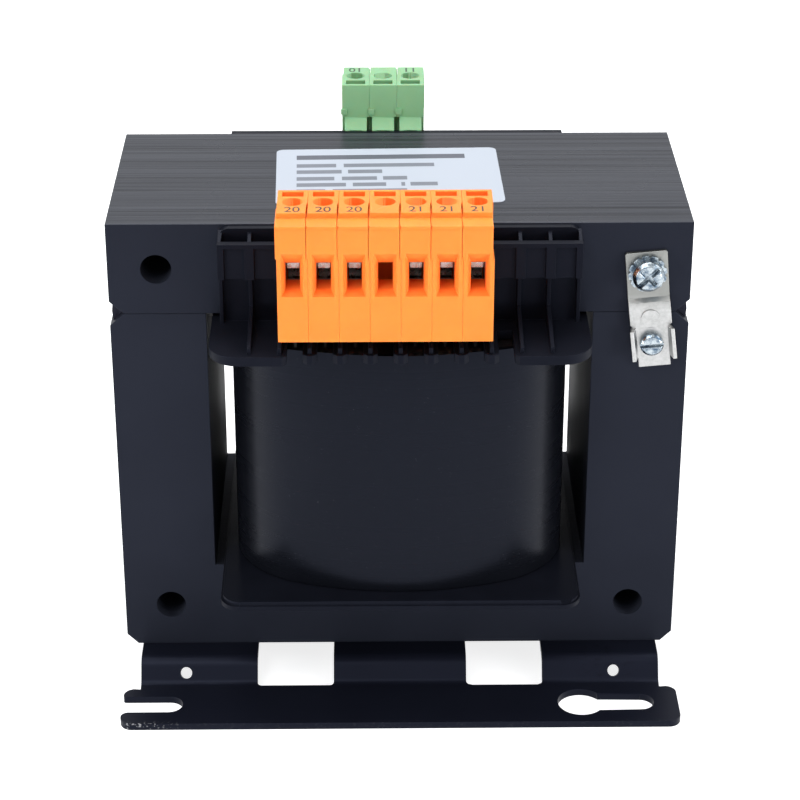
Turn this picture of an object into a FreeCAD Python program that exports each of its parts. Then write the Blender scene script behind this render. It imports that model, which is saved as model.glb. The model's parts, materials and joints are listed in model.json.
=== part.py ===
import FreeCAD, Part
import math
import os
import re

import Sketcher

# Laminated chassis transformer on two foot brackets.
# X runs along the terminal rows, Y from front to back, Z up; millimetres.
# The origin lies on the floor under the middle of the core.
doc = FreeCAD.newDocument("chassis_transformer")
sheet = doc.addObject("Spreadsheet::Sheet", "Sizes")
names = []
derived = {}
pieces = []


def size(name, number, meaning):
    names.append(name)
    row = str(len(names))
    sheet.set("A" + row, meaning)
    sheet.set("B" + row, str(number))
    sheet.setAlias("B" + row, name)


def bound(text):
    def known(match):
        word = match.group()
        if word in derived:
            return "(" + derived[word] + ")"
        return "Sizes." + word if word in names else word
    return re.sub(r"[a-z][a-z_]*", known, text)


def name_sum(name, text):
    derived[name] = bound(text)


def value(text):
    return float(sheet.evalExpression(bound(text)))


# Lamination stacks, in scrapless proportions of one to three
size("core_width", 150, "width of the lamination stacks")
size("stack_depth", 65, "depth of the lamination stacks")
size("limb", 25, "width of outer limbs and yokes")
size("tongue", 50, "width of the middle limb")
size("leg_height", 100, "height of the E sheets")
size("corner_hole", 8, "bore of the four corner holes")
size("hole_inset", 12.5, "corner hole from both edges")
size("core_chamfer", 3, "bottom corners of the E sheets")
size("notch_depth", 3.7, "depth of the weld notch")
size("notch_half", 3.4, "half opening of the weld notch")
size("bead_recess", 0.8, "weld bead below the side face")
size("bead_crown", 0.3, "crown of the weld bead")
size("bead_setback", 2, "weld bead short of the end faces")

# Foot brackets, pressed from sheet
size("foot_height", 8, "core underside above the floor")
size("bracket_sheet", 2, "sheet of the foot brackets")
size("foot_reach", 30.6, "foot in front of the core face")
size("shelf_half", 70.7, "half width of shelf and riser")
size("shelf_tuck", 14, "shelf behind the core face")
size("riser_start", 7.1, "upper bend in front of the core face")
size("riser_end", 10.6, "lower bend in front of the core face")
size("bend_inner", 2, "inner radius of the bends")
size("foot_back", 13.7, "back edge of the foot beside the riser")
size("foot_round_front", 3.4, "free corners of the foot")
size("foot_round_back", 3, "corners beside the riser")
size("slot_width", 7.5, "width of the mounting slots")
size("slot_reach", 21.3, "mounting slots in front of the core face")
size("open_slot_centre", 62.4, "end of the open slot from the middle")
size("key_slot_centre", 64.7, "end of the keyhole slot from the middle")
size("prong_round", 2, "front corner at the mouth of the open slot")
size("prong_tip", 0.8, "back corner at the mouth of the open slot")
size("keyhole", 12.5, "round end of the keyhole slot")
size("keyhole_centre", 48.7, "round end from the middle")
size("cutout_centre", 28.5, "riser cut-outs from the middle")
size("cutout_width", 20.8, "width of the riser cut-outs")
size("cutout_tuck", 3, "cut-outs behind the core face")
size("cutout_round", 1.2, "corners of the cut-outs")
size("riser_hole", 3.2, "small holes in the riser")
size("riser_hole_centre", 58.4, "small holes from the middle")
size("bracket_bead", 2, "leg of the welds at the shelf ends")
size("bracket_bead_run", 10, "length of the welds at the shelf ends")

# Coil former
size("tongue_fit", 0.3, "former around the tongue, each side")
size("tube_wall", 1.6, "wall of the former tube")
size("tube_round", 1.5, "corners of the former tube")
size("bottom_play", 0.5, "former above the lower yoke")
size("top_play", 1, "former below the upper yoke")
size("flange", 2.5, "thickness of both flanges")
size("lower_gap", 2.5, "lower flange to the outer limbs")
size("lower_reach", 25.2, "lower flange in front of the core face")
size("lower_round", 5.5, "corners of the lower flange")
size("rebate", 0.6, "step in the edge of the lower flange")
size("upper_gap", 1.5, "upper flange to the outer limbs")
size("upper_reach", 24.4, "upper flange in front of the core face")
size("upper_round", 8, "corners of the upper flange")
size("tooth_width", 3.6, "teeth of the comb")
size("tooth_reach", 23.5, "teeth in front of the core face")
size("tooth_tip", 1.1, "chamfers at the tips of the teeth")
size("slot_floor", 9, "comb slots start before the core face")
size("comb_slots", 8, "slots in each comb")
size("pitch", 7.62, "spacing of ribs and terminals")
size("bays", 12, "terminal bays along each rail")
size("rib", 1, "thickness of the ribs")
size("back_gap", 0.3, "back plate to the core face")
size("back_plate", 2, "thickness of the back plates")
size("back_rise", 25.7, "back plates above the upper flange")
size("back_round", 3, "upper corners of the back plates")
size("rail_rise", 23.7, "rail above the upper flange")
size("rail_back", 6, "rail wall in front of the core face")
size("rail_wall", 1.5, "thickness of the rail wall")
size("rail_drop", 9.7, "height of the rail wall")
size("rail_proud", 0.8, "bar and posts proud of the rail wall")
size("bar_height", 1.2, "height of the bar along the rail")
size("post_width", 2.5, "width of the posts on the rail")
size("rib_rise", 25, "ribs above the upper flange at the back plate")
size("rib_waist", 4, "ribs below the rail, from the core face")
size("guide_rise", 5, "guide ribs above the flange at the back")
size("guide_end", 1.6, "guide ribs above the flange at the front")
size("guide_reach", 22.5, "guide ribs in front of the core face")

# Windings and wrap
size("winding_play", 0.3, "windings clear of the flanges")
size("winding_fit", 0.2, "layers clear of each other")
size("primary_build", 7.5, "primary winding, thickness at the sides")
size("primary_nose", 9.5, "primary winding in front of the core face")
size("primary_arc", 78, "bulge of the primary winding")
size("primary_corner", 8, "corners of the primary winding")
size("insulation", 0.5, "insulation between the windings")
size("wrap_half", 44, "half width of the outer wrap")
size("wrap_nose", 20, "outer wrap in front of the core face")
size("wrap_arc", 78, "bulge of the outer wrap")
size("wrap_corner", 25, "corners of the outer wrap")
size("wrap_wall", 1.6, "thickness of the outer wrap")

# Clip-on terminal housings
size("block_gap", 0.06, "gap between housings")
size("block_reach", 27.2, "housing face in front of the core face")
size("block_drop", 18.2, "housing below the rail top")
size("block_rise", 14.2, "housing above the rail top")
size("step_reach", 22, "step in the top from the core face")
size("step_drop", 1.3, "step in the top")
size("back_step_drop", 2.3, "step in the top, back row")
size("back_settle", 0.35, "back row pressed down on its rail")
size("lip_proud", 0.4, "lip proud of the face")
size("lip_height", 0.8, "height of the lip")
size("clip_fit", 0.4, "housing clear of the rail")
size("head_back", 6.8, "back of the housing head from the core face")
size("head_rise", 4.9, "underside of the head above the rail top")
size("hook_width", 6.1, "width of the hook")
size("hook_back", 3.4, "back of the hook from the core face")
size("hook_drop", 6.8, "hook below the rail top")
size("hook_shoulder", 2.1, "shoulder of the hook above the rail top")
size("hook_neck", 4.7, "neck of the hook above the rail top")
size("hook_chamfer", 0.6, "chamfer at the tip of the hook")
size("hook_groove", 3.5, "groove down the back of the hook")
size("hook_groove_depth", 0.4, "depth of that groove")
size("lug_width", 1.3, "interlocking lug on the back of the head")
size("lug_low", 5.7, "lower side of the lug above the rail top")
size("lug_high", 7.3, "upper side of the lug above the rail top")
size("lug_proud", 0.6, "lug proud of the back of the head")
size("lug_reach", 0.3, "lug past the side of its housing")
size("lug_fit", 0.1, "lug clear of the next housing")
size("driver_hole", 5.2, "screwdriver hole")
size("driver_reach", 14.7, "screwdriver hole from the core face")
size("driver_floor", 4.3, "seat of the clamp screw above the rail top")
size("ledge", 2, "ledge under the clamp screw")
size("ledge_hole", 3.6, "hole in the ledge")
size("latch_width", 5.3, "slot in the top")
size("latch_back", 7.9, "slot in the top, back edge")
size("latch_front", 11, "slot in the top, front edge")
size("latch_depth", 3, "depth of the slot in the top")
size("cavity_width", 5.3, "clamp cavity")
size("cavity_back", 9.9, "clamp cavity, back wall")
size("cavity_front", 17.9, "clamp cavity, front wall")
size("mouth_width", 5.44, "wire funnel at the face")
size("mouth_drop", 5.9, "lower edge of the funnel below the rail top")
size("mouth_rise", 5.5, "upper edge of the funnel above the rail top")
size("throat_width", 3.6, "wire channel")
size("throat_drop", 5.2, "lower edge of the channel below the rail top")
size("throat_rise", 1.9, "upper edge of the channel above the rail top")
size("throat_reach", 24, "start of the wire channel")
size("rim_proud", 0.25, "interlocking rim at the side")
size("rim_back", 15.8, "rim from the core face")
size("rim_rise", 4.2, "lower end of the rim above the rail top")
size("rim_fit", 0.15, "rim clear of the next housing")

# Wire clamps inside the housings
size("cage_width", 5, "clamp cage")
size("cage_depth", 5.2, "clamp cage, front to back")
size("cage_height", 9.6, "clamp cage")
size("cage_wall", 0.7, "sheet of the clamp cage")
size("cage_drop", 1, "clamp cage below the cavity roof")
size("bar_width", 3, "contact bar")
size("bar_sheet", 1, "thickness of the contact tail")
size("bar_depth", 1.6, "thickness of the contact bar under the screw")
size("bar_drop", 3, "contact bar below the cavity roof")
size("bar_fit", 0.3, "contact bar clear of the cavity")
size("tail_overlap", 1.5, "contact tail down into the comb")
size("clamp_thread", 3, "thread of the clamp screw")
size("clamp_head", 4.8, "head of the clamp screw")
size("clamp_head_height", 2, "head of the clamp screw")
size("clamp_slot", 0.8, "slot in the clamp screw")
size("clamp_slot_depth", 0.9, "depth of that slot")
size("thread_fit", 0.1, "thread clear of its bore")
size("lead", 1.5, "lead wire")
size("lead_rise", 4.5, "lead wire above the upper flange")
size("lead_fit", 0.05, "lead wire clear of the tail")

# Earth terminal at the upper right corner hole
size("screw_drop", 1, "earth screw below the middle of its hole")
size("screw_aside", 1, "earth screw outside the middle of its hole")
size("tab_sheet", 1, "sheet of the earth tab")
size("tab_width", 10.8, "upper part of the earth tab")
size("tab_above", 5.7, "earth tab above its screw")
size("tab_round", 0.6, "upper corners of the earth tab")
size("tab_flat", 7, "flat part below the screw")
size("tab_joggle", 1.2, "joggle forward")
size("tab_joggle_run", 1, "height of the joggle")
size("tab_below", 26.2, "lower end below the screw")
size("tab_tilt", 5.2, "turn of the tab about its screw")
size("plate_width", 8.3, "lower plate between the ears")
size("shoulder", 14.2, "shoulders of the upper part below the screw")
size("ear_top", 14.9, "ears start below the screw")
size("ear_height", 8.6, "height of the ears")
size("ear_reach", 2.4, "ears folded forward")
size("boss", 5, "embossed round")
size("boss_below", 12.5, "embossed round below the screw")
size("boss_proud", 0.4, "embossed round proud of the sheet")
size("earth_thread", 5, "thread of the earth screw")
size("earth_head", 8.2, "head of the earth screw")
size("earth_head_height", 3, "head of the earth screw")
size("cross_width", 1.2, "wings of the cross recess")
size("cross_span", 5.2, "span of the cross recess")
size("cross_long", 7, "slot through the cross recess")
size("cross_depth", 1.8, "depth of the cross recess")
size("lock_washer", 10, "lock washer")
size("lock_sheet", 1, "thickness of the lock washer")
size("rear_washer", 11, "rear washer")
size("rear_sheet", 1, "thickness of the rear washer")
size("washer_fit", 0.2, "washers around the thread")
size("nut_flats", 8, "nut across flats")
size("nut_height", 4, "height of the nut")
size("thread_end", 2, "thread past the nut")
size("tab_screw_below", 19.4, "clamp screw of the tab below the earth screw")
size("tab_screw_head", 6.2, "head of that screw")
size("tab_screw_height", 2.2, "head of that screw")
size("tab_screw_thread", 3.5, "thread of that screw")
size("tab_screw_length", 2, "length of that thread")

# Rating label on the upper yoke
size("label_width", 59.6, "label")
size("label_depth", 39.4, "label")
size("label_sheet", 0.2, "label")
size("label_round", 2, "corners of the label")
size("label_left", 2.63, "label left of the middle")
size("label_back", 0.2, "label behind the middle")
size("label_turn", 1.3, "label not quite square to the core, degrees")

# Levels and faces that several pieces share
name_sum("half_width", "core_width / 2")
name_sum("face", "stack_depth / 2")
name_sum("joint", "foot_height + leg_height")
name_sum("core_top", "joint + limb")
name_sum("former_bottom", "foot_height + limb + bottom_play")
name_sum("former_top", "joint - top_play")
name_sum("rail_top", "former_top + rail_rise")
name_sum("rail_reach", "rail_back + rail_wall + rail_proud")
name_sum("rail_half", "(bays * pitch + rib) / 2")
name_sum("tube_half", "tongue / 2 + tongue_fit + tube_wall")
name_sum("tube_face", "face + tongue_fit + tube_wall")
name_sum("coil_bottom", "former_bottom + flange + winding_play")
name_sum("coil_height", "former_top - flange - winding_play - coil_bottom")
name_sum("roof", "driver_floor - ledge")
name_sum("bar_top", "roof - bar_drop")
name_sum("tail_back", "cavity_back + bar_fit")
doc.recompute()


# Drawing and feature helpers
def body(label):
    made = doc.addObject("PartDesign::Body", label)
    made.Label = label
    made.AllowCompound = True
    pieces.append(made)
    return made


def origin(made, role):
    return next(part for part in made.Origin.OriginFeatures if part.Role == role)


def sketch(made, role, offset="0"):
    drawn = made.newObject("Sketcher::SketchObject", made.Name + "_sketch")
    drawn.AttachmentSupport = [(origin(made, role), "")]
    drawn.MapMode = "FlatFace"
    drawn.setExpression(".AttachmentOffset.Base.z", bound(offset))
    return drawn


def fix(drawn, kind, where, text):
    index = drawn.addConstraint(Sketcher.Constraint(kind, *where, value(text)))
    drawn.setExpression("Constraints[%d]" % index, bound(text))


def pin(drawn, line, end, corner):
    fix(drawn, "DistanceX", (-1, 1, line, end), corner[0])
    fix(drawn, "DistanceY", (-1, 1, line, end), corner[1])


def spot_at(corner):
    return FreeCAD.Vector(value(corner[0]), value(corner[1]), 0)


# Closed chain: each run starts at its first corner and is a line, or an arc about a centre
def chain(drawn, runs):
    added = []
    for (start, centre, radius), (end, _, _) in zip(runs, runs[1:] + runs[:1]):
        if centre is None:
            curve = Part.LineSegment(spot_at(start), spot_at(end))
        else:
            circle = Part.Circle(spot_at(centre), FreeCAD.Vector(0, 0, 1), value(radius))
            curve = Part.ArcOfCircle(circle, circle.parameter(spot_at(start)),
                                     circle.parameter(spot_at(end)))
        added.append(drawn.addGeometry(curve))
    for run, after in zip(added, added[1:] + added[:1]):
        drawn.addConstraint(Sketcher.Constraint("Coincident", run, 2, after, 1))
    for run, (start, centre, radius) in zip(added, runs):
        pin(drawn, run, 1, start)
        if centre is not None:
            fix(drawn, "Radius", (run,), radius)


def outline(drawn, corners):
    chain(drawn, [(corner, None, None) for corner in corners])


def rectangle(drawn, left, right, low, high):
    outline(drawn, [(left, low), (right, low), (right, high), (left, high)])


def rounded(drawn, left, right, low, high, radius):
    inner = [text + sign + "(" + radius + ")" for text, sign in
             ((left, "+"), (right, "-"), (low, "+"), (high, "-"))]
    chain(drawn, [
        ((inner[0], low), None, None),
        ((inner[1], low), (inner[1], inner[2]), radius),
        ((right, inner[2]), None, None),
        ((right, inner[3]), (inner[1], inner[3]), radius),
        ((inner[1], high), None, None),
        ((inner[0], high), (inner[0], inner[3]), radius),
        ((left, inner[3]), None, None),
        ((left, inner[2]), (inner[0], inner[2]), radius),
    ])


def disc(drawn, across, u="0", v="0"):
    spot = spot_at((u, v))
    circle = Part.Circle(spot, FreeCAD.Vector(0, 0, 1), value(across) / 2)
    ring = drawn.addGeometry(circle)
    fix(drawn, "Diameter", (ring,), across)
    pin(drawn, ring, 3, (u, v))


# Small and repeated rounds are drawn as polygons
def facets(drawn, across, sides, u="0", v="0"):
    step = 360 / sides
    turns = [step * (number + 0.5) for number in range(sides)]
    outline(drawn, [("%s + (%s) / 2 * cos(%g)" % (u, across, turn),
                     "%s + (%s) / 2 * sin(%g)" % (v, across, turn)) for turn in turns])


def feature(made, kind, drawn):
    added = made.newObject("PartDesign::" + kind, made.Name + "_" + kind)
    added.Profile = (drawn, [""])
    drawn.Visibility = False
    return added


def pad(made, drawn, length, both=False, backwards=False):
    added = feature(made, "Pad", drawn)
    added.setExpression("Length", bound(length))
    added.SideType = "Symmetric" if both else "One side"
    added.Reversed = backwards
    return added


def cut(made, added):
    before = made.Shape.Volume
    doc.recompute()
    if made.Tip.isValid() and made.Shape.Volume > before - 0.001:
        raise ValueError(added.Label + " removes nothing")
    return added


def pocket(made, drawn, length=None, both=False, backwards=False):
    doc.recompute()
    added = feature(made, "Pocket", drawn)
    if length is None:
        added.Type = "ThroughAll"
    else:
        added.setExpression("Length", bound(length))
    added.SideType = "Symmetric" if both else "One side"
    added.Reversed = backwards
    return cut(made, added)


def row_of(made, originals, count, spacing, role="X_Axis"):
    spread = made.newObject("PartDesign::LinearPattern", made.Name + "_row")
    spread.Originals = originals
    spread.Direction = (origin(made, role), [""])
    spread.Mode = "Spacing"
    spread.setExpression("Offset", bound(spacing))
    spread.setExpression("Occurrences", bound(count))
    made.Tip = spread
    doc.recompute()
    return spread


def edges(made, along, x=None, y=None, z=None):
    doc.recompute()
    found = []
    for number, edge in enumerate(made.Tip.Shape.Edges, 1):
        if edge.Curve.TypeId != "Part::GeomLine":
            continue
        if abs(edge.tangentAt(edge.FirstParameter)["xyz".index(along)]) < 0.999:
            continue
        middle = edge.CenterOfMass
        wanted = [(middle.x, x), (middle.y, y), (middle.z, z)]
        if all(text is None or abs(abs(at) - abs(value(text))) < 0.01 for at, text in wanted):
            found.append("Edge%d" % number)
    return found


def dress(made, kind, chosen, property_name, radius):
    base = made.Tip
    added = made.newObject("PartDesign::" + kind, made.Name + "_" + kind)
    added.Base = (base, chosen)
    added.setExpression(property_name, bound(radius))
    doc.recompute()


def fillet(made, chosen, radius):
    dress(made, "Fillet", chosen, "Radius", radius)


def chamfer(made, chosen, leg):
    dress(made, "Chamfer", chosen, "Size", leg)


def place(made, x="0", y="0", z="0", turn=0):
    spin = FreeCAD.Rotation(FreeCAD.Vector(0, 0, 1), turn)
    made.Placement = FreeCAD.Placement(FreeCAD.Vector(), spin)
    for axis, text in zip("xyz", (x, y, z)):
        made.setExpression(".Placement.Base." + axis, bound(text))


# E stack: three limbs on the lower yoke, with the halves of the weld notches
def mirrored(right):
    left = [("-(" + u + ")", v) for u, v in reversed(right)]
    return right + left


leg_stack = body("core_e_laminations")
drawn = sketch(leg_stack, "XZ_Plane")
outline(drawn, mirrored([
    ("half_width - core_chamfer", "foot_height"),
    ("half_width", "foot_height + core_chamfer"),
    ("half_width", "joint - notch_half"),
    ("half_width - notch_depth", "joint"),
    ("half_width - limb", "joint"),
    ("half_width - limb", "foot_height + limb"),
    ("tongue / 2", "foot_height + limb"),
    ("tongue / 2", "joint"),
]))
pad(leg_stack, drawn, "stack_depth", both=True)
drawn = sketch(leg_stack, "XZ_Plane")
for side in ("-", ""):
    disc(drawn, "corner_hole", side + "(half_width - hole_inset)", "foot_height + hole_inset")
pocket(leg_stack, drawn, both=True)

# I stack: the upper yoke
yoke_stack = body("core_i_laminations")
drawn = sketch(yoke_stack, "XZ_Plane")
outline(drawn, mirrored([
    ("half_width - notch_depth", "joint"),
    ("half_width", "joint + notch_half"),
    ("half_width", "core_top"),
]))
pad(yoke_stack, drawn, "stack_depth", both=True)
drawn = sketch(yoke_stack, "XZ_Plane")
for side in ("-", ""):
    disc(drawn, "corner_hole", side + "(half_width - hole_inset)", "core_top - hole_inset")
pocket(yoke_stack, drawn, both=True)

# Weld beads in the notches, slightly crowned
name_sum("bead_half", "notch_half * (notch_depth - bead_recess) / notch_depth")
joint_beads = body("joint_weld_beads")
for side in ("-", ""):
    drawn = sketch(joint_beads, "XZ_Plane")
    outline(drawn, [
        (side + "(half_width - notch_depth)", "joint"),
        (side + "(half_width - bead_recess)", "joint - bead_half"),
        (side + "(half_width - bead_recess + bead_crown)", "joint"),
        (side + "(half_width - bead_recess)", "joint + bead_half"),
    ])
    pad(joint_beads, drawn, "stack_depth - 2 * bead_setback", both=True)

# Coil former: tube and flanges
former = body("coil_former")
drawn = sketch(former, "XY_Plane", "former_bottom")
rectangle(drawn, "-tube_half", "tube_half", "-tube_face", "tube_face")
pad(former, drawn, "former_top - former_bottom")
fillet(former, edges(former, "z", x="tube_half"), "tube_round")

name_sum("lower_half", "half_width - limb - lower_gap")
name_sum("lower_face", "face + lower_reach")
drawn = sketch(former, "XY_Plane", "former_bottom")
rounded(drawn, "-lower_half", "lower_half", "-lower_face", "lower_face", "lower_round")
pad(former, drawn, "flange / 2")

drawn = sketch(former, "XY_Plane", "former_bottom + flange / 2")
rounded(drawn, "rebate - lower_half", "lower_half - rebate",
        "rebate - lower_face", "lower_face - rebate", "lower_round - rebate")
pad(former, drawn, "flange / 2")

name_sum("upper_half", "half_width - limb - upper_gap")
name_sum("upper_face", "face + upper_reach")
drawn = sketch(former, "XY_Plane", "former_top - flange")
rounded(drawn, "-upper_half", "upper_half", "-upper_face", "upper_face", "upper_round")
pad(former, drawn, "flange")

# Comb in the upper flange, front and back: teeth under the ribs, slots between them
name_sum("comb_half", "(comb_slots * pitch - tooth_width) / 2")
drawn = sketch(former, "XY_Plane", "former_top - flange")
for side in ("-", ""):
    outline(drawn, [
        ("-comb_half", side + "(face + tooth_reach)"),
        ("comb_half", side + "(face + tooth_reach)"),
        ("comb_half", side + "(upper_face + 1)"),
        ("-comb_half", side + "(upper_face + 1)"),
    ])
pocket(former, drawn, "flange", backwards=True)
drawn = sketch(former, "XY_Plane", "former_top - flange")
name_sum("first_slot", "(1 - comb_slots) * pitch / 2")
for side in ("-", ""):
    outline(drawn, [
        ("first_slot - (pitch - tooth_width) / 2", side + "(face + slot_floor)"),
        ("first_slot + (pitch - tooth_width) / 2", side + "(face + slot_floor)"),
        ("first_slot + (pitch - tooth_width) / 2", side + "(upper_face + 1)"),
        ("first_slot - (pitch - tooth_width) / 2", side + "(upper_face + 1)"),
    ])
slot_cut = pocket(former, drawn, "flange", backwards=True)
row_of(former, [slot_cut], "comb_slots", "pitch")
chamfer(former, edges(former, "z", y="face + tooth_reach"), "tooth_tip")
chamfer(former, edges(former, "z", x="comb_half", y="upper_face"), "tooth_tip")

# Back plates against the upper yoke
for side in ("-", ""):
    drawn = sketch(former, "XY_Plane", "former_top - flange")
    rectangle(drawn, "-rail_half", "rail_half",
              side + "(face + back_gap)", side + "(face + back_gap + back_plate)")
    pad(former, drawn, "flange + back_rise")
fillet(former, edges(former, "y", x="rail_half", z="former_top + back_rise"), "back_round")

# Rails that the housings clip onto: wall and bar
for side in ("-", ""):
    drawn = sketch(former, "XY_Plane", "rail_top - rail_drop")
    rectangle(drawn, "-rail_half", "rail_half",
              side + "(face + rail_back)", side + "(face + rail_back + rail_wall)")
    pad(former, drawn, "rail_drop")
    drawn = sketch(former, "XY_Plane", "rail_top - bar_height")
    rectangle(drawn, "-rail_half", "rail_half",
              side + "(face + rail_back + rail_wall / 2)", side + "(face + rail_reach)")
    pad(former, drawn, "bar_height")

# Ribs and posts, one at each side of every bay
ribs = sketch(former, "YZ_Plane", "-bays * pitch / 2")
for side in ("-", ""):
    outline(ribs, [
        (side + "(face + back_gap + back_plate / 2)", "former_top - flange / 2"),
        (side + "(face + rib_waist)", "former_top - flange / 2"),
        (side + "(face + rib_waist)", "rail_top - rail_drop"),
        (side + "(face + rail_back + rail_wall / 2)", "rail_top - rail_drop"),
        (side + "(face + rail_back + rail_wall / 2)", "rail_top - bar_height / 4"),
        (side + "(face + rail_back)", "rail_top - bar_height / 4"),
        (side + "(face + back_gap + back_plate / 2)", "former_top + rib_rise"),
    ])
rib_pad = pad(former, ribs, "rib", both=True)
posts = sketch(former, "YZ_Plane", "-bays * pitch / 2")
for side in ("-", ""):
    rectangle(posts, side + "(face + rail_back + rail_wall / 2)", side + "(face + rail_reach)",
              "rail_top - rail_drop", "rail_top - bar_height / 2")
post_pad = pad(former, posts, "post_width", both=True)
row_of(former, [rib_pad, post_pad], "bays + 1", "pitch")

# The outermost posts end with the rail
drawn = sketch(former, "XY_Plane", "rail_top - rail_drop - 1")
for end in ("-", ""):
    for side in ("-", ""):
        rectangle(drawn, end + "rail_half", end + "(rail_half + post_width)",
                  side + "(face + rail_back - 1)", side + "(face + rail_reach + 1)")
pocket(former, drawn, "rail_drop + 2", backwards=True)

# Low guides across the flange, below all ribs but the outermost
guides = sketch(former, "YZ_Plane", "(2 - bays) * pitch / 2")
for side in ("-", ""):
    outline(guides, [
        (side + "(face + rib_waist - 0.5)", "former_top - flange / 2"),
        (side + "(face + guide_reach)", "former_top - flange / 2"),
        (side + "(face + guide_reach)", "former_top + guide_end"),
        (side + "(face + rib_waist - 0.5)", "former_top + guide_rise"),
    ])
guide_pad = pad(former, guides, "rib", both=True)
row_of(former, [guide_pad], "bays - 1", "pitch")
drawn = sketch(former, "XY_Plane", "former_bottom - 1")
rectangle(drawn, "-(tongue / 2 + tongue_fit)", "tongue / 2 + tongue_fit",
          "-(face + tongue_fit)", "face + tongue_fit")
pocket(former, drawn, "former_top - former_bottom + 2", backwards=True)


# Coil layers round the tube, each a ring with straight sides and a bulging front and back
def bulge(drawn, half, nose, arc, corner):
    middle = "(face + %s - %s)" % (nose, arc)
    inset = "(%s - %s)" % (half, corner)
    rise = "sqrt((%s - %s)^2 - %s^2)" % (arc, corner, inset)
    share = "(%s / (%s - %s))" % (arc, arc, corner)
    side = "(%s + %s)" % (middle, rise)
    meet = ("%s * %s" % (inset, share), "(%s + %s * %s)" % (middle, rise, share))
    chain(drawn, [
        ((half, "-" + side), None, None),
        ((half, side), (inset, side), corner),
        (meet, ("0", middle), arc),
        (("-" + meet[0], meet[1]), ("-" + inset, side), corner),
        (("-" + half, side), None, None),
        (("-" + half, "-" + side), ("-" + inset, "-" + side), corner),
        (("-" + meet[0], "-" + meet[1]), ("0", "-" + middle), arc),
        ((meet[0], "-" + meet[1]), (inset, "-" + side), corner),
    ])


def inside(layer, gap):
    return ["(" + text + " - " + gap + ")" for text in layer]


def coil_layer(label, outer, inner):
    made = body(label)
    drawn = sketch(made, "XY_Plane", "coil_bottom")
    bulge(drawn, *outer)
    if inner is None:
        rectangle(drawn, "-(tube_half + winding_fit)", "tube_half + winding_fit",
                  "-(tube_face + winding_fit)", "tube_face + winding_fit")
    else:
        bulge(drawn, *inner)
    pad(made, drawn, "coil_height")


wrap = ["wrap_half", "wrap_nose", "wrap_arc", "wrap_corner"]
secondary = inside(wrap, "(wrap_wall + winding_fit)")
paper = inside(["(tube_half + winding_fit + primary_build)", "primary_nose", "primary_arc",
                "primary_corner"], "(-insulation - winding_fit)")
primary = inside(paper, "(insulation + winding_fit)")
coil_layer("primary_winding", primary, None)
coil_layer("interwinding_insulation", paper, inside(paper, "insulation"))
coil_layer("secondary_winding", secondary, inside(paper, "(-winding_fit)"))
coil_layer("outer_wrap", wrap, inside(wrap, "wrap_wall"))


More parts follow.
